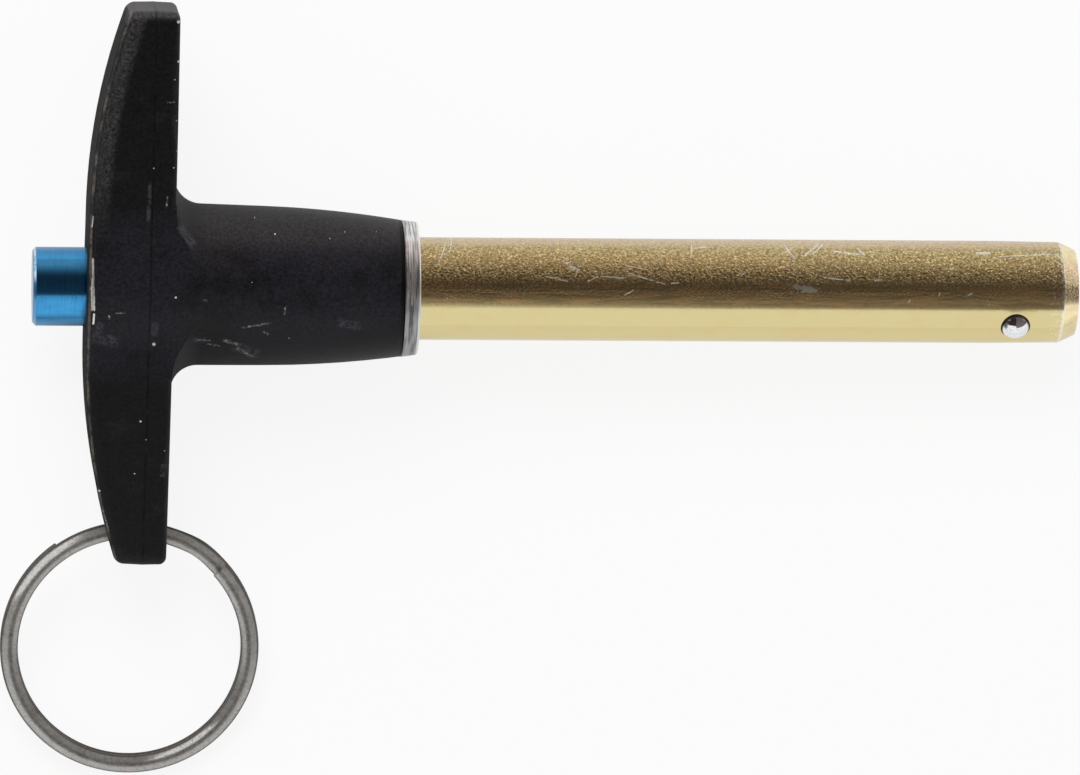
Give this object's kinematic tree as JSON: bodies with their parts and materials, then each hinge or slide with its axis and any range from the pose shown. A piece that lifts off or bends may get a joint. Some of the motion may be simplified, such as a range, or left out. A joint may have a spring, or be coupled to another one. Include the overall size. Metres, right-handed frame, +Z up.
{
  "type": "ball lock pin",
  "caption": "Ball lock pin with a T handle: a push button works a spindle that draws locking balls into the shank's tip, with a split ring hanging from an arm.",
  "frame": {"origin": "on the surface that the pin lies on, under the middle of its box", "axes": "+X from the button towards the shank's tip, along the surface; +Y towards the arm of the grip that has no ring; +Z up from the surface"},
  "size_m": [0.1328, 0.0956, 0.0207],
  "materials": {
    "black_handle": "satin",
    "turned_steel": "satin",
    "yellow_plate": "satin",
    "blue_button": "satin",
    "spring_steel": "satin",
    "ball_chrome": "polished",
    "ring_steel": "satin"
  },
  "bodies": {
    "body": {"handle": "black_handle", "collar": "turned_steel", "shank": "yellow_plate", "return_spring": "spring_steel"},
    "plunger": {"button": "blue_button", "spindle": "turned_steel"},
    "ball_1": {"lock_ball_1": "ball_chrome"},
    "ball_2": {"lock_ball_2": "ball_chrome"},
    "ring": {"split_ring": "ring_steel"}
  },
  "joints": [
    {"name": "button_press", "type": "slide", "parent": "body", "child": "plunger", "axis": [0.9993, 0, -0.0365], "range_m": [0, 0.005], "stiffness_N_per_m": 610, "springref_m": -0.008, "deforming": ["return_spring"]},
    {"name": "ball_1_in", "type": "slide", "parent": "body", "child": "ball_1", "axis": [-0.0272, 0.6679, -0.7437], "range_m": [0, 0.0012]},
    {"name": "ball_2_in", "type": "slide", "parent": "body", "child": "ball_2", "axis": [0.0272, -0.6679, 0.7437], "range_m": [0, 0.0012]},
    {"name": "ring_swing", "type": "hinge", "parent": "body", "child": "ring", "pos_m": [-0.04972, -0.01736, 0.00668], "axis": [-0.9992, 0.0147, 0.0365], "range_deg": [-153, 160]}
  ],
  "couplings": [
    {"joint": "ball_1_in", "follows": "button_press", "ratio": 0.24},
    {"joint": "ball_2_in", "follows": "button_press", "ratio": 0.24}
  ]
}
